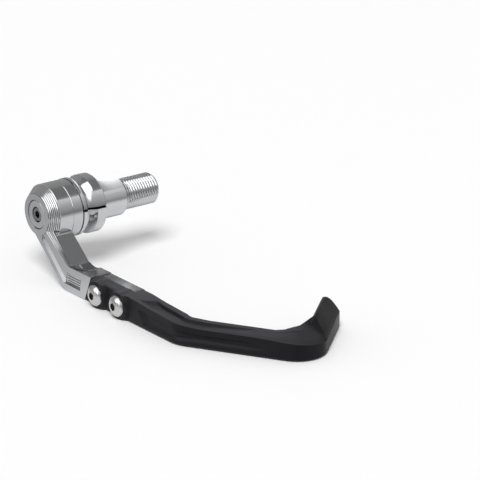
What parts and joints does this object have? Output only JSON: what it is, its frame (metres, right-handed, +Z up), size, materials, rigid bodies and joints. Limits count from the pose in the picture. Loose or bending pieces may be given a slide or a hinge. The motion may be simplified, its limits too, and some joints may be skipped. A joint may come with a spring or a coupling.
{
  "type": "brake lever guard",
  "caption": "Brake lever guard for the left end of a motorcycle handlebar: threaded bar end, clamped machined arm and black moulded blade with a hooked end.",
  "frame": {"origin": "on the handlebar's axis, in the plane where the collar stops against the end of the bar", "axes": "+X along the bar towards the grip, -Y forward, +Z up, as the guard lies in the picture"},
  "size_m": [0.0899, 0.2073, 0.054],
  "materials": {
    "satin_aluminium": "satin",
    "turned_aluminium": "polished",
    "stainless_screw": "satin",
    "dark_steel": "satin",
    "black_moulding": "matte"
  },
  "bodies": {
    "root": {"arm": "satin_aluminium", "guard_blade": "black_moulding", "rear_guard_screw": "stainless_screw", "front_guard_screw": "stainless_screw", "hub_cap": "turned_aluminium", "centre_screw": "stainless_screw", "lock_washer": "stainless_screw", "bar_end": "turned_aluminium", "set_screw": "dark_steel"}
  },
  "joints": []
}
